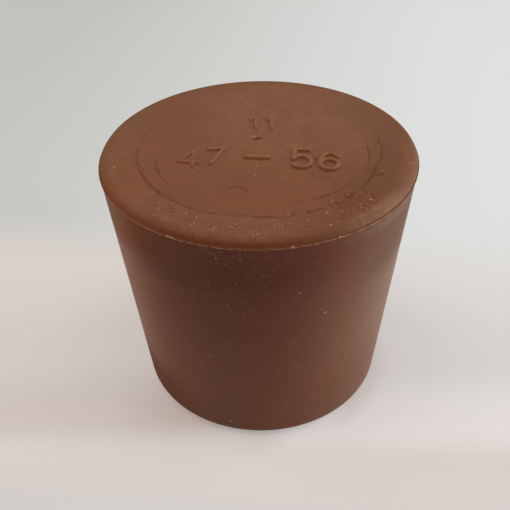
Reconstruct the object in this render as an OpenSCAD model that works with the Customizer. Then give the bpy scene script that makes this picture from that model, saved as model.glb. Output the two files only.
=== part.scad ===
// Solid rubber stopper, moulded in one piece as a tapered plug.
// It stands on its narrow end: the origin is the centre of that end, and +Z is the plug's axis.

/* [Plug] */
// Diameter of the narrow end, at the sharp corner that its rounding removes
narrow_diameter = 47; // [30:0.5:70]
// Diameter at the parting line, the widest place of the plug
wide_diameter = 56; // [40:0.5:80]
// Height from the narrow end to the crown
height = 50; // [20:0.5:90]
// Radius that rounds the edge of the narrow end
foot_radius = 2.5; // [0.5:0.1:5]
// Radius that rounds the crown's edge down to the parting line
shoulder_radius = 1.5; // [0.5:0.1:4]

/* [Flash] */
// How far the trimmed flash stands out from the flank at the parting line
flash_reach = 0.15; // [0.05:0.05:0.5]
// Thickness of the flash along the axis
flash_thickness = 0.3; // [0.1:0.05:0.6]

/* [Crown rings] */
// Distance from the parting line's edge in to the outer ring
ring_setback = 6.3; // [5:0.1:10]
// Distance from the outer ring in to the inner ring
ring_spacing = 2.7; // [1:0.1:4]
// Width of a ring's groove where it opens on the crown
ring_width = 0.4; // [0.2:0.05:1]
// Depth of a ring's groove below the crown
ring_depth = 0.15; // [0.05:0.05:0.4]

/* [Hidden] */
$fn = 180;

// Red-brown natural rubber
rubber_brown = [0.48, 0.31, 0.22];

narrow_r = narrow_diameter / 2;
wide_r = wide_diameter / 2;

// The two mould halves met here: the flank tapers below it, and the shoulder rounds in above it
parting_z = height - shoulder_radius;

// Lean of the flank away from the axis
flank_angle = atan2(wide_r - narrow_r, parting_z);

// Distance from the foot's sharp corner to where its rounding meets the base and the flank
foot_run = foot_radius / tan((90 + flank_angle) / 2);

// The foot's rounding ends at these distances from the axis and heights
foot_base_r = narrow_r - foot_run;
foot_flank_r = narrow_r + foot_run * sin(flank_angle);
foot_flank_z = foot_run * cos(flank_angle);

// Witness rings that the mould's marking plate left on the crown, from the rim inwards
outer_ring_r = wide_r - ring_setback;
ring_radii = [outer_ring_r, outer_ring_r - ring_spacing];

// A ring's groove is round in section, and this circle gives it its width and its depth
groove_r = (ring_width * ring_width / 4 + ring_depth * ring_depth) / (2 * ring_depth);

// Half of the plug's section, without its roundings
module plug_half() {
    polygon([
        [0, 0],
        [foot_base_r, 0],
        [foot_flank_r, foot_flank_z],
        [wide_r, parting_z],
        [wide_r - shoulder_radius, parting_z],
        [wide_r - shoulder_radius, height],
        [0, height]
    ]);
}

// Circle that touches the base and the flank, and rounds the narrow end
module foot_rounding() {
    translate([foot_base_r, foot_radius]) circle(r = foot_radius);
}

// Quarter circle from the parting line up to the crown
module shoulder_rounding() {
    translate([wide_r - shoulder_radius, parting_z]) intersection() {
        circle(r = shoulder_radius);
        square(shoulder_radius);
    }
}

// Thin fin where the mould halves met, cut back to a short stub, with its root inside the flank
module flash() {
    translate([wide_r - flash_thickness, parting_z - flash_thickness / 2])
        square([flash_thickness + flash_reach, flash_thickness]);
}

// One ring's groove at the crown, at radius r
module ring_groove(r) {
    translate([r, height - ring_depth + groove_r]) circle(r = groove_r);
}

// Half of the whole section, ready to turn about the axis
module stopper_half() {
    difference() {
        union() {
            plug_half();
            foot_rounding();
            shoulder_rounding();
            flash();
        }
        for (r = ring_radii) ring_groove(r);
    }
}

module stopper() {
    color(rubber_brown) rotate_extrude() stopper_half();
}

stopper();
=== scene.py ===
# %% [markdown]
# # A solid rubber stopper
# This is a tapered plug of red-brown rubber that closes the neck of a lab vessel. It is moulded in one
# piece, so one mesh stands for the whole object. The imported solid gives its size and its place, and this
# lesson adds what the solid leaves plain: the raised size figures, the uneven creases on the crown and the
# dusty, worn rubber.

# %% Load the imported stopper
import math

import bpy
import numpy as np
from mathutils import Matrix, Vector, noise


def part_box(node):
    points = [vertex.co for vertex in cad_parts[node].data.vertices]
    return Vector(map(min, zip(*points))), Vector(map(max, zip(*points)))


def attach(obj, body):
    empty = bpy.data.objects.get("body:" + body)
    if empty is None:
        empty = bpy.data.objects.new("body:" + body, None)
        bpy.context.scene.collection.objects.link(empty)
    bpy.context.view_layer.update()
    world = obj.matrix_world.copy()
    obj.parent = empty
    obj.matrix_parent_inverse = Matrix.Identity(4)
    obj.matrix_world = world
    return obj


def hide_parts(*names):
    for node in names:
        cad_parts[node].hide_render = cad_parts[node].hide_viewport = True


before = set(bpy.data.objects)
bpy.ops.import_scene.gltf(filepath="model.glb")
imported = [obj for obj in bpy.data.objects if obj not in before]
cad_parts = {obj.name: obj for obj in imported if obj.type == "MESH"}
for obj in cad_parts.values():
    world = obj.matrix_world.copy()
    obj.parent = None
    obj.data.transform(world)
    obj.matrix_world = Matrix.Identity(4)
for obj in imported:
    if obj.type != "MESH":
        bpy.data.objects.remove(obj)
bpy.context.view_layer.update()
scene = bpy.context.scene
scene.view_settings.view_transform = "Standard"
print("nodes in the packed part:", sorted(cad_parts))

# %% [markdown]
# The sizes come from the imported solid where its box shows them. The flash, the narrow end and the roundings
# don't show in a box, so they are written here once more, as the drawing of the part has them.

# %% Sizes of the plug
MM = 0.001

foot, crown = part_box("stopper")
flash_reach = 0.15 * MM
flash_thick = 0.3 * MM
crown_z = crown.z
wide_r = (crown.x - foot.x) / 2 - flash_reach
narrow_r = 23.5 * MM
foot_round = 2.5 * MM
shoulder_round = 1.5 * MM
parting_z = crown_z - shoulder_round
crown_r = wide_r - shoulder_round
lean = math.atan2(wide_r - narrow_r, parting_z)
print(f"height {crown_z / MM:.2f} mm, widest radius {wide_r / MM:.2f} mm")
print(f"lean of the flank {math.degrees(lean):.2f} degrees")

# %% [markdown]
# The camera comes first, because every later choice is judged through it. It could be set by eye. Here the
# two known diameters and the outline of the plug give its angle, its distance, its lens and a small roll.

# %% Camera
IMAGE_SIDE = 510
focal_pixels = 747.7
sensor_width = 36.0
view_turn = math.radians(6.5)
view_height = math.radians(37.82)
view_roll = math.radians(-1.44)
view_distance = 147.4 * MM
aim_right = -1.06 * MM
aim_up = 0.55 * MM

turn = Matrix.Rotation(view_turn, 3, "Z")
tip = Matrix.Rotation(math.pi / 2 - view_height, 3, "X")
roll = Matrix.Rotation(view_roll, 3, "Z")
look = turn @ tip @ roll
plug_middle = Vector((0, 0, crown_z / 2))
aim = plug_middle + look @ Vector((aim_right, aim_up, 0))
eye = aim + look @ Vector((0, 0, view_distance))

bpy.ops.object.select_all(action="DESELECT")
bpy.ops.object.camera_add(location=eye, rotation=look.to_euler())
camera = bpy.context.object
camera.data.sensor_width = sensor_width
camera.data.lens = sensor_width * focal_pixels / IMAGE_SIDE
camera.data.clip_start = MM
scene.camera = camera
print("camera at", [round(value / MM, 1) for value in eye], "mm")
print("lens", round(camera.data.lens, 2), "mm")

# %% [markdown]
# The plug is round all over, as its mould was. It could be a cone with bevelled edges, but the bevels would
# not meet the flank exactly. A half section gives every edge its true round. First come its corners: where
# the foot's round meets the base, where the thin flash stands out at the parting line, and where the
# shoulder's round starts above the flash.

# %% Corners of the half section
def way(angle):
    """A step of length 1 in the section's plane, at an angle."""
    return Vector((math.cos(angle), math.sin(angle)))


right_angle = math.pi / 2
foot_run = foot_round / math.tan((right_angle + lean) / 2)
foot_edge = Vector((narrow_r - foot_run, 0))
foot_centre = foot_edge + Vector((0, foot_round))

flash_half = flash_thick / 2
flash_root = Vector((wide_r - flash_half * math.tan(lean), parting_z - flash_half))
flash_low = Vector((wide_r + flash_reach, parting_z - flash_half))
flash_high = Vector((wide_r + flash_reach, parting_z + flash_half))

shoulder_centre = Vector((crown_r, parting_z))
shoulder_start = math.asin(flash_half / shoulder_round)
shoulder_root = shoulder_centre + shoulder_round * way(shoulder_start)
print("foot's round starts", round(foot_edge.x / MM, 2), "mm from the axis")

# %% [markdown]
# The section is a row of points from the middle of the narrow end, out round the foot, up the flank, over
# the flash and the shoulder, and back along the crown to the middle. Even steps all along would waste
# faces, so its points lie closest where the crown has marks.

# %% Points of the half section
def straight(start, end, steps):
    """Points in equal steps from start to end, without start."""
    return [start.lerp(end, step / steps) for step in range(1, steps + 1)]


def rounding(centre, radius, first, last, steps):
    """Points on a round, from after the first angle to the last."""
    angles = [first + (last - first) * step / steps for step in range(1, steps + 1)]
    return [centre + radius * way(angle) for angle in angles]


crease_zone_out = 23.0 * MM
crease_zone_in = 17.8 * MM
bare_middle = 2.0 * MM
base_rings = 5
round_rings = 8
flank_rings = 12
margin_rings = 7
crease_rings = 40
figure_rings = 63

axis_low = Vector((0, 0))
axis_high = Vector((0, crown_z))
crown_edge = Vector((crown_r, crown_z))
crease_out = Vector((crease_zone_out, crown_z))
crease_in = Vector((crease_zone_in, crown_z))
middle_edge = Vector((bare_middle, crown_z))

section = straight(axis_low, foot_edge, base_rings)
section += rounding(foot_centre, foot_round, -right_angle, -lean, round_rings)
section += straight(section[-1], flash_root, flank_rings)
section += [flash_low, flash_high, shoulder_root]
section += rounding(shoulder_centre, shoulder_round, shoulder_start, right_angle, round_rings)
section += straight(crown_edge, crease_out, margin_rings)
section += straight(crease_out, crease_in, crease_rings)
section += straight(crease_in, middle_edge, figure_rings)
section += [axis_high]
print("points in the half section:", len(section) + 1)

# %% [markdown]
# The section is drawn as by hand: a small plane is merged to one point on the axis, and that point is
# extruded from place to place. Spin then turns the whole row about the axis, like a lathe. The seam and the
# two poles are merged, and the normals are made to point outwards.

# %% Spin the plug
turn_steps = 384
merge_gap = 0.001 * MM

bpy.ops.object.select_all(action="DESELECT")
bpy.ops.mesh.primitive_plane_add(size=MM)
stopper = bpy.context.object
stopper.name = "stopper_rubber"
bpy.ops.object.mode_set(mode="EDIT")
bpy.ops.mesh.select_all(action="SELECT")
bpy.ops.mesh.merge(type="CENTER")
previous = axis_low
for corner in section:
    move = corner - previous
    bpy.ops.mesh.extrude_vertices_move(TRANSFORM_OT_translate={"value": (move.x, 0, move.y)})
    previous = corner
bpy.ops.mesh.select_all(action="SELECT")
bpy.ops.mesh.spin(steps=turn_steps, angle=2 * math.pi, center=(0, 0, 0), axis=(0, 0, 1))
bpy.ops.mesh.select_all(action="SELECT")
bpy.ops.mesh.remove_doubles(threshold=merge_gap)
bpy.ops.mesh.normals_make_consistent(inside=False)
bpy.ops.object.mode_set(mode="OBJECT")
print("spun plug:", len(stopper.data.vertices), "points,", len(stopper.data.polygons), "faces")

# %% [markdown]
# The crown carries plain size figures, raised by about 0.4 mm: a size number, and the diameters of the two
# ends in millimetres. They were cut into the mould by hand, so they stand unevenly. A text object would be
# too regular, so each figure is a few strokes: straight runs, and bows where it is round.

# %% Strokes of the size figures, in millimetres on the crown
def bow(x, y, half_width, half_height, first, last, steps=14):
    """Points on an upright oval round x, y, from the first angle to the last, in degrees."""
    angles = [math.radians(first + (last - first) * step / steps) for step in range(steps + 1)]
    return [(x + half_width * math.cos(a), y + half_height * math.sin(a)) for a in angles]


four = [
    [(-10.95, -2.0), (-13.2, -6.0), (-9.7, -6.2)],
    [(-11.0, -2.2), (-10.6, -7.2)],
]
seven = [[(-8.5, -1.7), (-5.9, -1.1), (-7.5, -6.4)]]
dash = [[(-1.6, -3.75), (1.9, -3.8)]]
five = [
    [(9.0, -0.95), (6.6, -0.85), (6.4, -3.6)],
    bow(7.9, -4.9, 1.65, 1.85, 152, -152),
]
six = [
    bow(12.7, -4.6, 1.6, 2.75, 42, 190),
    bow(12.65, -5.4, 1.55, 1.65, 0, 360),
]
size_number = [
    [(-2.25, 9.9), (-1.55, 11.3), (-1.1, 6.8)],
    [(0.75, 10.0), (1.35, 11.7), (1.9, 6.4)],
]
figures = four + seven + dash + five + six + size_number
print("strokes:", len(figures))

# %% [markdown]
# The figures need finer faces than the rest of the crown. Subdividing the whole crown would give it four
# times as many faces, so only faces near a stroke are found, by their distance to it, and subdivided once.

# %% Finer faces along the strokes
def distance_to(strokes, x, y):
    """Least distance from points to any of the strokes."""
    least = np.full(x.shape, np.inf)
    for stroke in strokes:
        for (ax, ay), (bx, by) in zip(stroke, stroke[1:]):
            run_x = bx - ax
            run_y = by - ay
            share = ((x - ax) * run_x + (y - ay) * run_y) / (run_x**2 + run_y**2)
            share = np.clip(share, 0, 1)
            gap = np.hypot(x - ax - share * run_x, y - ay - share * run_y)
            least = np.minimum(least, gap)
    return least


def in_millimetres(items, field):
    """A vector field of all the mesh's items, as one array in millimetres."""
    values = np.empty(len(items) * 3, np.float32)
    items.foreach_get(field, values)
    return values.reshape(-1, 3) / MM


fine_reach = 1.1
crown_gap = 0.01
crown_mm = crown_z / MM

centres = in_millimetres(stopper.data.polygons, "center")
crown_faces = centres[:, 2] > crown_mm - crown_gap
near_faces = distance_to(figures, centres[:, 0], centres[:, 1]) < fine_reach
fine_faces = crown_faces & near_faces

bpy.ops.object.mode_set(mode="EDIT")
bpy.ops.mesh.select_mode(type="FACE")
bpy.ops.mesh.select_all(action="DESELECT")
bpy.ops.object.mode_set(mode="OBJECT")
stopper.data.polygons.foreach_set("select", fine_faces)
bpy.ops.object.mode_set(mode="EDIT")
bpy.ops.mesh.subdivide(number_cuts=1)
bpy.ops.object.mode_set(mode="OBJECT")
print("faces made finer:", int(fine_faces.sum()), "and now", len(stopper.data.polygons), "in all")

# %% [markdown]
# Everything on the crown becomes one height: figures up, creases and marks down. It could be sculpted by
# hand. Weights on the points do it more exactly: they say how much each point moves, as weight painting
# would, and a Displace modifier moves the points and is applied. The same weights can stay on the mesh as
# an attribute, so that a material knows where dirt and painted shade lie and where the rubber is worn and
# painted with a highlight.

# %% Helpers that move points by a weight
def swell(distance, top, bottom):
    """1 within the top distance, 0 beyond the bottom one, and a soft slope between."""
    share = np.clip((bottom - distance) / (bottom - top), 0, 1)
    return share * share * (3 - 2 * share)


def displace(weights, name, distance, direction):
    """Moves the points by the distance times their weight."""
    group = stopper.vertex_groups.new(name=name)
    for index in np.flatnonzero(weights > least_weight):
        group.add([int(index)], float(weights[index]), "REPLACE")
    modifier = stopper.modifiers.new(name, "DISPLACE")
    modifier.vertex_group = name
    modifier.direction = direction
    modifier.mid_level = 0
    modifier.strength = distance
    bpy.ops.object.modifier_apply(modifier=name)


def keep_attribute(weights, name):
    """Keeps the weights as an attribute that a material can read."""
    attribute = stopper.data.attributes.new(name, "FLOAT", "POINT")
    attribute.data.foreach_set("value", weights.astype(np.float32))


least_weight = 0.001
points = in_millimetres(stopper.data.vertices, "co")
point_x = points[:, 0]
point_y = points[:, 1]
crown_points = points[:, 2] > crown_mm - crown_gap
print("points on the crown:", int(crown_points.sum()))

# %% [markdown]
# The figures are not equally bold: the five and the six are full, the dash is wide, the seven is lower, and
# the four and the size number are faint. One profile for all would look printed. The near side of each
# figure, which little light and no finger reaches, gets an attribute of its own for painted shade.

# %% Raise the figures
figure_height = 0.38 * MM
shelter_step = 0.45
stroke_top = 0.12
bold_foot = 0.58
slim_foot = 0.6
dash_top = 0.25
dash_foot = 0.8
seven_share = 0.8
faint_share = 0.65


def relief(x, y):
    """Height of the size figures, from 0 to 1, at points on the crown."""
    bold = swell(distance_to(five + six, x, y), stroke_top, bold_foot)
    bar = swell(distance_to(dash, x, y), dash_top, dash_foot)
    lower = seven_share * swell(distance_to(seven, x, y), stroke_top, slim_foot)
    faint = faint_share * swell(distance_to(four + size_number, x, y), stroke_top, slim_foot)
    return np.maximum.reduce([bold, bar, lower, faint])


raised = relief(point_x, point_y) * crown_points
sheltered = np.clip(relief(point_x, point_y + shelter_step) - raised, 0, 1) * crown_points
displace(raised, "figures", figure_height, "Z")
keep_attribute(raised, "raised")
keep_attribute(sheltered, "sheltered")
print("points raised:", int((raised > 0.5).sum()))

# %% [markdown]
# Two creases run round the crown where a plate in the mould stopped, and they wander, because rubber crept
# under the plate. A clean groove would look machined. So each crease has a few listed places, given as an
# angle in degrees, a distance from the axis in millimetres and a depth from 0 to 1, and a little noise
# makes it waver and break between them. A short curl leaves the outer crease on the right.

# %% Places of the creases
outer_crease = [
    (2, 21.5, 0.9), (8, 21.5, 0.9), (14, 21.7, 0.7), (22, 21.6, 0.1), (40, 21.4, 0.0),
    (150, 21.3, 0.0), (170, 21.0, 0.3), (194, 21.3, 0.7), (217, 21.6, 1.0), (238, 21.8, 1.0),
    (255, 22.1, 0.9), (270, 21.5, 0.8), (284, 22.1, 0.8), (310, 22.0, 0.7), (323, 22.0, 0.8),
    (334, 21.5, 0.9), (339, 21.4, 1.0), (344, 21.0, 1.0), (349, 21.3, 0.9), (355, 21.7, 0.9),
]
inner_crease = [
    (6, 19.1, 0.8), (10, 19.0, 0.2), (14, 19.0, 0.0), (194, 18.3, 0.0), (199, 18.3, 0.4),
    (205, 18.5, 0.8), (215, 18.9, 0.9), (226, 19.1, 0.6), (236, 19.2, 0.0), (282, 18.6, 0.0),
    (290, 18.8, 0.5), (297, 19.1, 0.7), (303, 19.3, 0.9), (311, 19.4, 1.0), (320, 19.5, 1.0),
    (329, 19.4, 0.3), (334, 19.9, 0.0), (341, 20.1, 0.5), (349, 19.7, 0.8), (358, 19.3, 0.9),
]
curl = [[(20.0, -7.0), (20.1, -7.8), (20.4, -8.2), (20.8, -8.3), (21.3, -8.0), (21.9, -7.6)]]
print("places along the creases:", len(outer_crease) + len(inner_crease) + len(curl[0]))

# %% [markdown]
# A crease has a round profile about its middle line. Between its places the line and the depth run straight
# on, and noise that is read along a circle, so that it closes, moves the line and breaks the depth.

# %% Depth of a crease
crease_waver = 0.3
waves_round = 12
whole_share = 0.75
break_swing = 1.2


def crease(x, y, places, half_width, seed):
    """Depth of a crease, from 0 to 1, at points on the crown."""
    angle = np.degrees(np.arctan2(y, x)) % 360
    at, radii, depths = zip(*places)
    middle = np.interp(angle, at, radii, period=360)
    depth = np.interp(angle, at, depths, period=360)
    circle = [Vector((math.cos(a), math.sin(a), seed)) * waves_round for a in np.radians(angle)]
    wave = np.array([noise.noise(on_circle) for on_circle in circle])
    gaps = np.array([noise.noise(2 * on_circle) for on_circle in circle])
    depth = depth * np.clip(whole_share + break_swing * gaps, 0, 1)
    off_middle = np.hypot(x, y) - middle - crease_waver * wave
    return depth * np.exp(-((off_middle / half_width) ** 2))


outer_depth = crease(point_x, point_y, outer_crease, half_width=0.26, seed=1.5)
inner_depth = crease(point_x, point_y, inner_crease, half_width=0.2, seed=7.5)
print("deepest places:", round(float(outer_depth.max()), 2), round(float(inner_depth.max()), 2))

# %% [markdown]
# With the creases go the short curl, a small pit in the middle and two faint round marks in front, which
# are deeper in their far half. Where two of them meet, the deeper one counts.

# %% Press in the creases and the marks
crease_depth = 0.08 * MM
hollow_floor = 0.1
curl_edge = 0.5
curl_share = 0.7
pit_x, pit_y = (-0.3, 2.7)
pit_edge = 0.6
round_marks = [(-2.2, -15.4, 0.5), (11.6, -11.4, 0.3)]
mark_r = 1.8
mark_stretch = 1.1
mark_floor = 0.05
mark_edge = 0.4


def round_mark(x, y, mark_x, mark_y):
    """Depth of a round mark, from 0 to 1, deeper in its far half."""
    from_ring = np.abs(np.hypot((x - mark_x) / mark_stretch, y - mark_y) - mark_r)
    far_half = np.clip(0.7 + 0.5 * (y - mark_y) / mark_r, 0, 1)
    return far_half * swell(from_ring, mark_floor, mark_edge)


from_pit = np.hypot(point_x - pit_x, point_y - pit_y)
hollows = [
    outer_depth,
    inner_depth,
    curl_share * swell(distance_to(curl, point_x, point_y), hollow_floor, curl_edge),
    swell(from_pit, hollow_floor, pit_edge),
]
for mark_x, mark_y, mark_share in round_marks:
    hollows.append(mark_share * round_mark(point_x, point_y, mark_x, mark_y))
sunk = np.maximum.reduce(hollows) * crown_points
displace(sunk, "creases", -crease_depth, "Z")
keep_attribute(sunk, "sunk")
print("points sunk:", int((sunk > 0.5).sum()))

# %% [markdown]
# The flash was trimmed with a blade and is not quite even. A plain ring would look turned on a lathe, so
# its two edges move in along the normals by a few hundredths of a millimetre, by smooth noise.

# %% Uneven flash
flash_waver = 0.07 * MM
flash_grain = 60.0
wide_mm = wide_r / MM

flash_points = np.hypot(point_x, point_y) > (wide_r + flash_reach / 2) / MM
trimmed = np.zeros(len(points))
for index in np.flatnonzero(flash_points):
    trimmed[index] = 0.5 + 0.5 * noise.noise(Vector(points[index]) / wide_mm * flash_grain)
displace(np.clip(trimmed, 0, 1), "flash", -flash_waver, "NORMAL")
print("points on the flash:", int(flash_points.sum()))

# %% [markdown]
# Last, the faces are shaded smooth except at the sharp edges of the flash. The mesh has to be closed, so
# its open edges are counted. The finished piece stands for the imported solid and rides on its only body.

# %% Shade the plug and put it in place
sharp_angle = math.radians(50)

bpy.ops.object.select_all(action="DESELECT")
stopper.select_set(True)
bpy.context.view_layer.objects.active = stopper
bpy.ops.object.shade_smooth_by_angle(angle=sharp_angle)

bpy.ops.object.mode_set(mode="EDIT")
bpy.ops.mesh.select_mode(type="EDGE")
bpy.ops.mesh.select_all(action="DESELECT")
bpy.ops.mesh.select_non_manifold()
bpy.ops.object.mode_set(mode="OBJECT")
open_edges = sum(edge.select for edge in stopper.data.edges)
stopper.data.calc_loop_triangles()

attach(stopper, "root")
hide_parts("stopper")
print("open edges:", open_edges, "triangles:", len(stopper.data.loop_triangles))

# %% [markdown]
# A material is a tree of nodes, and sums of masks are hard to read there. This small class wraps one
# socket, so that arithmetic on it in Python adds the Math nodes. Its method node adds a node of any kind.

# %% Shader sums written as Python
class Shade:
    """One socket of a material, or none for a start."""

    def __init__(self, tree, socket=None):
        self.tree = tree
        self.socket = socket

    def node(self, kind, output, settings, sockets):
        """Adds a node, sets it, feeds its sockets with values or links, and gives one output."""
        made = self.tree.nodes.new(kind)
        for name, value in settings.items():
            setattr(made, name, value)
        for name, value in sockets.items():
            if isinstance(value, Shade):
                self.tree.links.new(value.socket, made.inputs[name])
            else:
                made.inputs[name].default_value = value
        return Shade(self.tree, made.outputs[output])

    def math(self, operation, first, second):
        """Adds a Math node."""
        return self.node("ShaderNodeMath", 0, {"operation": operation}, {0: first, 1: second})

    def __add__(self, other):
        return self.math("ADD", self, other)

    def __sub__(self, other):
        return self.math("SUBTRACT", self, other)

    def __rsub__(self, other):
        return self.math("SUBTRACT", other, self)

    def __mul__(self, other):
        return self.math("MULTIPLY", self, other)

    def __gt__(self, other):
        return self.math("GREATER_THAN", self, other)

    __radd__ = __add__
    __rmul__ = __mul__


print("shader sums are ready")

# %% [markdown]
# The material works in the object's own coordinates, turned to millimetres, so it needs no image and no
# unwrapping. A place has three coordinates and a distance from the axis, and a soft step turns any of them
# into a mask from 0 to 1.

# %% Helpers for places and masks
def fade(value, low, high):
    """0 at low, 1 at high, and a soft slope between."""
    soft = {"interpolation_type": "SMOOTHSTEP"}
    return value.node("ShaderNodeMapRange", 0, soft, {0: value, 1: low, 2: high})


def at_least(least, share):
    """The share, squeezed so that it runs from least to 1."""
    return least + (1 - least) * share


def place_in(tree):
    """The object's own coordinates, in millimetres."""
    start = Shade(tree)
    metres = start.node("ShaderNodeTexCoord", "Object", {}, {})
    return start.node("ShaderNodeVectorMath", 0, {"operation": "SCALE"}, {0: metres, "Scale": 1 / MM})


def along(place, axis):
    """One coordinate of a place."""
    return place.node("ShaderNodeSeparateXYZ", axis, {}, {0: place})


def stretched(place, factors):
    """A place with each coordinate times a factor."""
    return place.node("ShaderNodeVectorMath", 0, {"operation": "MULTIPLY"}, {0: place, 1: factors})


def length(place):
    """Distance of a place from the origin."""
    return place.node("ShaderNodeVectorMath", "Value", {"operation": "LENGTH"}, {0: place})


print("helpers for places and masks are ready")

# %% [markdown]
# The first masks say where a place lies: on the crown, in the margin outside the creases, on the crown's
# edge and shoulder, on the flash, on the flank, or towards the front. Their limits are in millimetres.
# Painting them on the mesh by hand would work too, but limits are easier to move.

# %% Places on the plug
rubber = bpy.data.materials.new("red_brown_rubber")
rubber.use_nodes = True
tree = rubber.node_tree
parting_mm = parting_z / MM

place = place_in(tree)
across, deep, height = [along(place, axis) for axis in "XYZ"]
out = length(stretched(place, (1, 1, 0)))

on_crown = fade(height, crown_mm - 0.6, crown_mm - 0.3)
in_margin = on_crown * fade(out, 20.5, 22.5)
over_flash = fade(height, parting_mm + 0.15, parting_mm + 0.4)
on_edge = over_flash * fade(out, wide_mm - 2.2, wide_mm - 1.2)
on_shoulder = over_flash * fade(height, crown_mm, crown_mm - 1.0)
on_flash = fade(out, wide_mm, wide_mm + 0.06)
on_flank = fade(height, parting_mm, parting_mm - 0.4)
in_front = fade(deep, -15, -26)
front_flank = on_flank * fade(deep, -2, -12)
print("nodes for the places:", len(tree.nodes))

# %% [markdown]
# Colours are laid on in thin coats, as a painter would: each coat has a mask, a strength and a tint. A
# single flat colour would look like plastic. Soft noise breaks the masks up, and a colour is written as a
# screen shows it and turned into the shader's linear values.

# %% Helpers for the coats of colour
def on_screen(red, green, blue):
    """A colour as it shows on a screen, from 0 to 255, in the shader's own linear values."""
    shares = [value / 255 for value in (red, green, blue)]
    return [s / 12.92 if s <= 0.04045 else ((s + 0.055) / 1.055) ** 2.4 for s in shares] + [1.0]


def cloud(place, grain, detail=3.0):
    """Soft noise about 0.5, with lumps of the grain's size."""
    sockets = {"Vector": place, "Scale": 1 / grain, "Detail": detail}
    return place.node("ShaderNodeTexNoise", 0, {}, sockets)


def patches(place, grain, low, high, detail=3.0):
    """Clouds with clearer edges, from 0 to 1."""
    return fade(cloud(place, grain, detail), low, high)


def spot(place, middle, radius, core_share=0.4):
    """1 round the middle, 0 beyond the radius, with a soft edge."""
    gap = place.node("ShaderNodeVectorMath", "Value", {"operation": "DISTANCE"}, {0: place, 1: middle})
    return fade(gap, radius, radius * core_share)


def blend(share, first, second):
    """The second colour over the first."""
    return share.node("ShaderNodeMix", 2, {"data_type": "RGBA"}, {0: share, 6: first, 7: second})


def paint(colour, zone, coats):
    """Coats over the colour in a zone, each with a mask, a strength and a tint."""
    for mask, strength, tint in coats:
        colour = blend(zone * mask * strength, colour, tint)
    return colour


everywhere = 1.0
print("helpers for the coats are ready")

# %% [markdown]
# The rubber is filled with chalk and iron oxide, which gives its red-brown colour. It drifts in broad soft
# clouds. The crown is duller in its right margin, a little olive at the far left, and hazy in the middle,
# where the haze is partly a pale painted sheen.

# %% Colour of the crown
rubber_brown = on_screen(119, 75, 50)
rubber_dull = on_screen(110, 70, 48)
margin_dull = on_screen(104, 67, 46)
margin_olive = on_screen(118, 88, 59)
crown_haze_sheen = on_screen(133, 94, 66)

dull_margin = fade(across, 8, 22) * fade(out, 18.5, 21) * at_least(0.2, fade(out, 27, 23.5))
left_margin = fade(across, -19, -25)
# the haze in the middle is partly a pale painted sheen
haze_sheen = spot(place, (5, 9, crown_mm), 24) * (0.2 + 0.15 * patches(place, 6, 0.35, 0.65))
mottle = patches(place, 1.3, 0.4, 0.65)

colour = blend(patches(place, 14, 0.35, 0.65), rubber_dull, rubber_brown)
colour = paint(colour, on_crown, [
    (dull_margin, 0.9, margin_dull),
    (left_margin, 0.25, margin_olive),
    (haze_sheen, 1.0, crown_haze_sheen),
])
colour = paint(colour, everywhere, [(mottle, 0.45, rubber_dull)])
print("nodes with the crown:", len(tree.nodes))

# %% [markdown]
# Where the crown turns down to the parting line, a darker, clean red is painted in front as shade. On the
# right a pale painted sheen stands for the right light grazing the rim. Both fade out softly round the rim.

# %% Colour of the rim
# a darker red painted as shade in front
shoulder_shade_red = on_screen(117, 57, 32)
# pale colours painted as the sheen of the right light
edge_sheen = on_screen(150, 113, 93)
flank_sheen = on_screen(129, 95, 73)

# where the painted red shade and the pale painted sheen lie
red_front = fade(deep, 8, -12) * fade(across, 18, 6)
right_shoulder = fade(across, 14, 24)
front_right = fade(across, 13, 21) * fade(deep, -9, -17)
right_rim = fade(across, 21, 25) * fade(out, 24.3, 26.2) * fade(deep, 8, 0) * fade(deep, -14, -7)

colour = paint(colour, on_shoulder, [
    (red_front, 0.7, shoulder_shade_red),
    (right_shoulder, 0.6, flank_sheen),
])
colour = paint(colour, on_edge, [(front_right, 0.4, edge_sheen)])
colour = paint(colour, on_crown, [(right_rim, 0.14, edge_sheen)])
print("nodes with the rim:", len(tree.nodes))

# %% [markdown]
# The flank is redder than the crown. Painted shade darkens it towards its upper edge, most of all in front,
# a painted warm light makes it warmer on the left, and a pale painted sheen lies on the right.

# %% Colour of the flank
flank_base = on_screen(118, 71, 51)
flank_dark = on_screen(103, 56, 41)
warm_light_tint = on_screen(130, 78, 48)

# painted shade towards the top, a painted warm light on the left and a painted sheen on the right
shaded_up = fade(height, 8, 46) * at_least(0.2, in_front)
warm_light_left = fade(across, -12, -22) * fade(height, 8, 26)
back_lift = 20
lifted = height + back_lift * fade(deep, -12, 4)
right_sheen = fade(across, 4, 22) * fade(lifted, 7, 24) * fade(height, 52, 26)

colour = paint(colour, on_flank, [
    (everywhere, 0.7, flank_base),
    (shaded_up, 1.0, flank_dark),
    (warm_light_left, 0.6, warm_light_tint),
    (right_sheen, 0.6, flank_sheen),
])
print("nodes with the flank:", len(tree.nodes))

# %% [markdown]
# Uneven patches lie mostly on the front half of the flank: greyer ones near its sides and its top, which are
# a painted sheen, a brown one low on the right, and a darker one of painted shade below the rim on the right.
# A dark, wavy band and a red patch of painted shade lie under the parting line, and painted shade darkens the
# foot where it stands.

# %% Patches on the flank
grey_sheen = on_screen(122, 98, 82)
flank_brown = on_screen(106, 74, 50)
flank_shade = on_screen(100, 72, 58)
flank_shade_red = on_screen(103, 57, 32)
rim_shade = on_screen(85, 43, 24)
foot_shade = on_screen(66, 40, 28)

# grey painted sheen near the sides and the top of the flank
far_right = fade(across, 17, 23) * fade(height, 10, 24)
top_left = fade(across, -16, -22) * fade(height, 41, 46)
low_right = fade(across, 8, 18) * fade(height, 20, 6)
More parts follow.
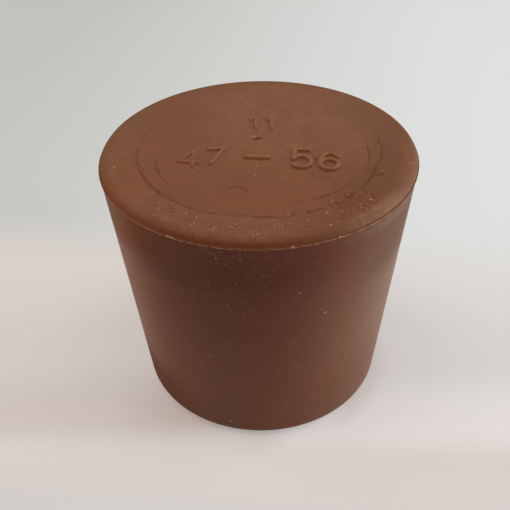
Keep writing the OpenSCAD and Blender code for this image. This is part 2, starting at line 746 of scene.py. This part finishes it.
# a darker patch of painted shade below the rim on the right
dark_right = fade(across, 15, 23) * fade(height, 33, 38) * fade(height, 47, 44.5)
top_right = fade(across, 12, 22) * fade(height, 45, 47)
low_left = fade(across, -8, -18) * fade(height, 16, 6)
# a wavy band and a red patch of painted shade under the parting line
wave_height = 10
waved = height + wave_height * (cloud(place, 7) - 0.5)
rim_band = fade(waved, 36, 42) * fade(height, 48, 44) * fade(across, 16, 4) * fade(across, -21, -12)
red_left = fade(across, -2, -12) * fade(across, -22, -15) * fade(height, 38, 44)
# painted shade where the foot stands
near_foot = fade(height, 2.2, 0.4)

colour = paint(colour, front_flank, [
    (far_right, 0.5, grey_sheen),
    (top_left, 0.3, grey_sheen),
    (low_right, 0.5, flank_brown),
    (dark_right, 0.5, flank_shade),
    (top_right, 0.6, grey_sheen),
])
colour = paint(colour, on_flank, [
    (low_left, 0.7, flank_dark),
    (rim_band, 0.5, rim_shade),
    (red_left, 0.7, flank_shade_red),
    (near_foot, 0.4, foot_shade),
])
print("nodes with the patches:", len(tree.nodes))

# %% [markdown]
# Use left its marks, and painted light goes with them. Dirt and painted shade lie in the creases, painted
# shade lies round the feet of the figures and on their near side, and the tops of the figures are rubbed
# paler and painted with a highlight, where the weights kept on the mesh say. The trimmed flash has painted
# red shade above, and in its lower half it is torn to a paler, broken line that is also a painted highlight,
# up to the far right, where painted shade makes it dark.

# %% Dirt, wear, painted shade and painted highlights
# dirt with painted shade, painted shade of the figures, worn tops and a torn flash with painted highlights
dirt_and_shade = on_screen(90, 44, 21)
figure_shade = on_screen(106, 52, 18)
rubbed_and_highlit = on_screen(143, 99, 71)
torn_and_highlit = on_screen(210, 157, 118)


def kept_weight(name):
    """Weights that were kept on the mesh."""
    return place.node("ShaderNodeAttribute", "Fac", {"attribute_name": name}, {})


raised_share, sheltered_share, sunk_share = map(kept_weight, ("raised", "sheltered", "sunk"))
figure_feet = fade(raised_share, 0.02, 0.2) * fade(raised_share, 0.7, 0.3)
torn_grain = at_least(0.15, patches(place, 0.6, 0.38, 0.6, 5.0))
torn_slant = 0.4
torn = torn_grain * at_least(0.65, fade(deep - torn_slant * across, -10, -24))
lower_half = fade(height, parting_mm, parting_mm - 0.06)

colour = paint(colour, everywhere, [
    (sunk_share * patches(place, 1.6, 0.2, 0.55), 0.95, dirt_and_shade),
    (figure_feet, 0.2, dirt_and_shade),
    # painted shade on the near side of the figures
    (fade(sheltered_share, 0.05, 0.6), 0.8, figure_shade),
    # tops rubbed paler, with a painted highlight
    (fade(raised_share, 0.4, 0.8), 0.45, rubbed_and_highlit),
])
colour = paint(colour, on_flash, [
    (red_front, 0.8, shoulder_shade_red),
    (fade(across, 21.5, 23.5), 0.6, rim_shade),
    # the torn lower half of the flash, pale with a painted highlight
    (lower_half * fade(across, 23.5, 21.5) * torn, 0.9, torn_and_highlit),
])
print("nodes with the wear:", len(tree.nodes))

# %% [markdown]
# Dust is thickest where fingers don't rub. On the crown's front margin it is a dull film, and on the right
# of it there is a darker, dirty patch. Both are broken up by clouds, so that they have no clear edge.

# %% Film of dust
dust_film = on_screen(140, 98, 74)

filmed = in_margin * fade(deep, -10, -23)
dust_patch = spot(place, (17.5, -17.5, crown_mm), 7.0)
film = 0.03 + 0.22 * patches(place, 1.5, 0.35, 0.7, 5.0)
patch_dirt = 0.06 + 0.33 * patches(place, 0.8, 0.42, 0.62)

colour = paint(colour, filmed, [(fade(across, 14, 2), film, dust_film)])
colour = paint(colour, dust_patch, [(everywhere, patch_dirt, dirt_and_shade)])
print("nodes with the film:", len(tree.nodes))

# %% [markdown]
# A few larger specks, dark spots and torn bits of flash catch the eye, so they are set one by one. The torn
# bits are pale with a painted highlight. Each has a place, a radius in millimetres and a strength. Scattered
# noise could not put them where they belong.

# %% Single specks and spots
dust_pale = on_screen(178, 141, 117)
dark_spots = [
    (7.5, -20.7, 0.35, 0.7), (15.5, -15.0, 0.6, 0.45), (16.4, -14.3, 0.5, 0.45), (14.2, -17.0, 0.6, 0.5),
    (17.5, -16.0, 0.6, 0.5), (-0.7, 2.6, 0.7, 1.0), (-0.3, 3.0, 0.55, 0.9), (0.2, 3.0, 0.5, 0.8),
    (10.4, -3.7, 0.6, 0.5),
]
pale_specks = [
    (-23.7, -8.8, 0.3, 0.6), (6.6, -20.7, 0.25, 0.5), (-3.2, -1.4, 0.2, 0.4), (0.5, -6.6, 0.25, 0.4),
    (0.4, -9.5, 0.22, 0.7), (-10.2, -9.2, 0.2, 0.5), (-1.1, 3.5, 0.4, 0.5), (-0.1, 1.9, 0.3, 0.3),
    (-8.3, 1.6, 0.4, 0.15), (-7.7, 1.6, 0.4, 0.15), (26.4, -3.9, 0.3, 0.4), (27.0, -3.8, 0.3, 0.4),
    (19.4, -15.6, 0.3, 0.5), (12.6, -19.8, 0.25, 0.5), (13.2, -22.9, 0.25, 0.5), (21.6, -6.8, 0.25, 0.3),
    (-12.1, -23.2, 0.3, 0.4), (-12.7, -23.5, 0.25, 0.35), (-7.6, -23.8, 0.25, 0.5),
    (-8.0, -24.4, 0.25, 0.4), (-4.3, -24.9, 0.25, 0.5), (-4.5, -25.6, 0.25, 0.4), (2.3, -26.1, 0.25, 0.4),
    (1.8, -26.6, 0.25, 0.3), (-14.1, -22.3, 0.22, 0.3), (2.9, -18.7, 0.25, 0.25), (-12.2, -3.9, 0.4, 0.3),
    (-11.4, -3.1, 0.4, 0.3), (-11.3, -4.6, 0.35, 0.25), (-10.7, -3.4, 0.35, 0.25),
]
torn_bits = [
    (-11.5, -25.7, 0.3, 0.8), (-11.0, -25.9, 0.3, 0.8), (-10.6, -26.1, 0.25, 0.7), (7.7, -27.0, 0.3, 0.6),
    (14.7, -23.9, 0.3, 0.6),
]
flank_specks = [
    (13.0, -23.1, 32.3, 0.35, 0.7), (-3.9, -27.5, 46.2, 0.3, 0.35), (-2.6, -27.5, 45.0, 0.25, 0.3),
    (13.9, -24.0, 42.5, 0.25, 0.3),
]


def dots(colour, dot_places, up, tint):
    """Single dots at one height, each with its place, radius and strength."""
    for dot_x, dot_y, radius, strength in dot_places:
        colour = blend(spot(place, (dot_x, dot_y, up), radius) * strength, colour, tint)
    return colour


colour = dots(colour, dark_spots, crown_mm, dirt_and_shade)
colour = dots(colour, pale_specks, crown_mm, dust_pale)
# torn bits of flash, pale with a painted highlight
colour = dots(colour, torn_bits, parting_mm, torn_and_highlit)
for speck_x, speck_y, speck_z, speck_r, speck_strength in flank_specks:
    colour = dots(colour, [(speck_x, speck_y, speck_r, speck_strength)], speck_z, dust_pale)
print("nodes with the specks:", len(tree.nodes))

# %% [markdown]
# The finest dust is too much to set by hand. Dark grit and pale flecks come from fine noise, and frayed
# specks from a share of the cells of a Voronoi pattern. They lie thickest in the front margin, in the dirty
# patch and high on the front of the flank. Faint smears run round the flank where it was wiped.

# %% Grit, flecks and smears
def dust(place, cell, size, share, core_share=0.3, faintest=0.15):
    """Frayed specks in a share of the cells of a Voronoi pattern."""
    fray = place.node("ShaderNodeTexNoise", "Color", {}, {"Vector": place, "Scale": 2 / size})
    add = {"operation": "MULTIPLY_ADD"}
    moved = place.node("ShaderNodeVectorMath", 0, add, {0: fray, 1: (size, size, size), 2: place})
    sockets = {"Vector": moved, "Scale": 1 / cell}
    gap = place.node("ShaderNodeTexVoronoi", "Distance", {}, sockets)
    tint = place.node("ShaderNodeTexVoronoi", "Color", {}, sockets)
    draw, strength = [tint.node("ShaderNodeSeparateColor", channel, {}, {0: tint}) for channel in (0, 1)]
    speck = fade(gap, size / cell, size / cell * core_share)
    return speck * (draw + share > 1) * at_least(faintest, strength * strength)


grime = on_screen(82, 38, 16)
smear_squeeze = (1, 1, 1.6)
patch_share = 0.5
flank_share = 0.35

clumped = filmed * fade(out, 27.0, 25.0) * patches(place, 2.2, 0.4, 0.62)
drifted = on_flank * spot(place, (-1.0, -27.5, 42.0), 12.0) * patches(place, 4, 0.3, 0.65)
dusty = clumped + patch_share * dust_patch + flank_share * drifted
grit = patches(place, 0.5, 0.5, 0.3, 2.0)
flecks = patches(place, 0.4, 0.55, 0.75, 2.0)
speck_share = 0.005 + 0.008 * on_flank + 0.2 * clumped + 0.08 * drifted
smears = patches(stretched(place, smear_squeeze), 1.1, 0.5, 0.75, 4.0)
smeared = on_flank * smears * at_least(0.2, patches(place, 5, 0.45, 0.65))

colour = paint(colour, everywhere, [
    (grit, 0.18 + 0.3 * dusty, grime),
    (flecks, 0.05 + 0.5 * dusty, dust_pale),
    (dust(place, 0.9, 0.3, speck_share), 1.0, dust_pale),
    (smeared, 0.1, dust_pale),
])
print("nodes with the dust:", len(tree.nodes))

# %% [markdown]
# The face of the rubber is dull to satin. It reflects little straight on and more at a flat angle, so the
# sides of the flank look greyer than its middle. It is duller at the crown's edge, in a few patches of the
# flank and on the slopes of the figures. A very fine grain blurs the reflections.

# %% Face of the rubber
satin = 0.36
satin_drift = 0.1
edge_dullness = 0.45
patch_dullness = 0.3
right_share = 0.8
straight_shine = 0.1
grain_size = 0.35
grain_strength = 0.12
grain_depth = 0.05 * MM

dull_left = on_flank * fade(across, -6, -20) * (fade(height, 37, 45) + fade(height, 16, 6))
dull_right = front_flank * fade(across, 16, 23) * fade(height, 32, 40)
dull_slopes = fade(raised_share, 0.02, 0.15)
dulled = dull_left + right_share * dull_right + dull_slopes
roughness = satin + satin_drift * cloud(place, 5) + edge_dullness * on_edge + patch_dullness * dulled
fine_grain = cloud(place, grain_size, 2.0)
bump_sockets = {"Height": fine_grain, "Strength": grain_strength, "Distance": grain_depth}
bump = fine_grain.node("ShaderNodeBump", 0, {}, bump_sockets)

face = tree.nodes["Principled BSDF"]
face.inputs["Specular IOR Level"].default_value = straight_shine
tree.links.new(colour.socket, face.inputs["Base Color"])
tree.links.new(roughness.socket, face.inputs["Roughness"])
tree.links.new(bump.socket, face.inputs["Normal"])
stopper.data.materials.append(rubber)
print("nodes in the rubber:", len(tree.nodes))

# %% [markdown]
# The floor is a plain pale sheet. It lies a hair below the foot, so that the two faces don't share a plane.
# It turns softly from a warm white near the plug to a cooler one behind it. Close to the plug a painted
# shadow makes it a little darker on the left and at the far right, and a painted pool of light makes it
# brighter in front on the right.

# %% Tones of the pale floor
floor_gap = 0.02 * MM
floor_side = 4.0
sheet_near = on_screen(219, 212, 206)
sheet_right = on_screen(222, 218, 215)
sheet_front = on_screen(210, 206, 203)
sheet_shaded = on_screen(204, 190, 182)
sheet_lit = on_screen(236, 230, 226)
sheet_far_left = on_screen(192, 193, 189)
sheet_far_right = on_screen(219, 221, 220)

bpy.ops.object.select_all(action="DESELECT")
bpy.ops.mesh.primitive_plane_add(size=floor_side, location=(0, 0, foot.z - floor_gap))
floor = bpy.context.object
floor.name = "floor"
sheet = bpy.data.materials.new("pale_sheet")
sheet.use_nodes = True
sheet_place = place_in(sheet.node_tree)
beside, behind = [along(sheet_place, axis) for axis in "XY"]
ahead = behind - math.tan(view_turn) * beside

to_right = fade(beside, -5, 35) * fade(behind, -28, -8)
to_front = fade(behind, -30, -44)
left_side = fade(beside, -2, -10) * at_least(0.55, fade(beside, -30, -14))
# a painted shadow of the plug on the left and at the far right, and a painted pool of light in front on the
# right
shaded_left = left_side * fade(ahead, -26, -19) * fade(ahead, 0, -17)
lit_front = fade(beside, 2, 9) * fade(ahead, -32, -23) * fade(ahead, -7, -18)
shaded_right = fade(length(sheet_place), 28, 23) * fade(beside, 14, 20)
sheet_far = blend(fade(beside, -120, 80), sheet_far_left, sheet_far_right)

sheet_colour = blend(to_right, sheet_near, sheet_right)
sheet_colour = paint(sheet_colour, everywhere, [
    (to_front, 1.0, sheet_front),
    (shaded_left, 1.0, sheet_shaded),
    (lit_front, 0.75, sheet_lit),
    (shaded_right, 0.5, sheet_shaded),
    (fade(behind, 22, 50), 1.0, sheet_far),
])
print("nodes for the tones:", len(sheet.node_tree.nodes))

# %% [markdown]
# A lit sheet alone would have a deep grey shadow. So half of what the camera sees of it, directly, in a
# reflection or through glass, is its own colour, whatever the light. The other half is lit as usual, which
# keeps a faint shadow.

# %% Light on the floor
sheet_roughness = 0.9
own_share = 0.5

sheet_face = sheet.node_tree.nodes["Principled BSDF"]
sheet_face.inputs["Roughness"].default_value = sheet_roughness
rays = ("Is Camera Ray", "Is Glossy Ray", "Is Transmission Ray")
camera_ray, glossy_ray, clear_ray = [sheet_place.node("ShaderNodeLightPath", ray, {}, {}) for ray in rays]
seen = camera_ray + glossy_ray + clear_ray
lit = Shade(sheet.node_tree, sheet_face.outputs[0])
glow = sheet_place.node("ShaderNodeEmission", 0, {}, {"Color": sheet_colour})
sheet_mix = sheet_place.node("ShaderNodeMixShader", 0, {}, {0: seen * own_share, 1: lit, 2: glow})
sheet_output = sheet.node_tree.nodes["Material Output"]
sheet.node_tree.links.new(sheet_colour.socket, sheet_face.inputs["Base Color"])
sheet.node_tree.links.new(sheet_mix.socket, sheet_output.inputs["Surface"])
floor.data.materials.append(sheet)
print("floor side:", floor_side, "m")

# %% [markdown]
# The light is soft, from four large squares: a cool and strong one on the right, a warmer and weaker one
# on the left, a weak one above and a very weak one behind. Small lamps would draw hard shadows. Nothing
# shines from the front, so the front of the plug stays its darkest side.

# %% Soft studio light
def soft_light(name, bearing, rise, side, power, tint):
    """A square light that faces the plug, at a bearing from the front and a rise, both in degrees."""
    round_by = math.radians(bearing)
    up_by = math.radians(rise)
    level_by = math.cos(up_by)
    away = Vector((math.sin(round_by) * level_by, -math.cos(round_by) * level_by, math.sin(up_by)))
    facing = away.to_track_quat("Z", "Y").to_euler()
    stand = plug_middle + away * light_distance
    bpy.ops.object.light_add(type="AREA", location=stand, rotation=facing)
    lamp = bpy.context.object
    lamp.name = name
    lamp.data.size = side
    lamp.data.energy = power
    lamp.data.color = tint


light_distance = 0.7
white = (1.0, 1.0, 1.0)
warm_white = (1.0, 0.93, 0.87)
cool_white = (0.98, 1.0, 1.02)
world_strength = 0.02

soft_light("right_light", bearing=95, rise=14, side=0.8, power=8.5, tint=cool_white)
soft_light("left_light", bearing=268, rise=36, side=0.6, power=3.6, tint=warm_white)
soft_light("top_light", bearing=0, rise=88, side=0.6, power=2.2, tint=white)
soft_light("back_light", bearing=180, rise=18, side=0.6, power=0.5, tint=warm_white)

world = bpy.data.worlds.new("studio")
scene.world = world
world.use_nodes = True
surroundings = world.node_tree.nodes["Background"]
surroundings.inputs["Color"].default_value = (*white, 1.0)
surroundings.inputs["Strength"].default_value = world_strength
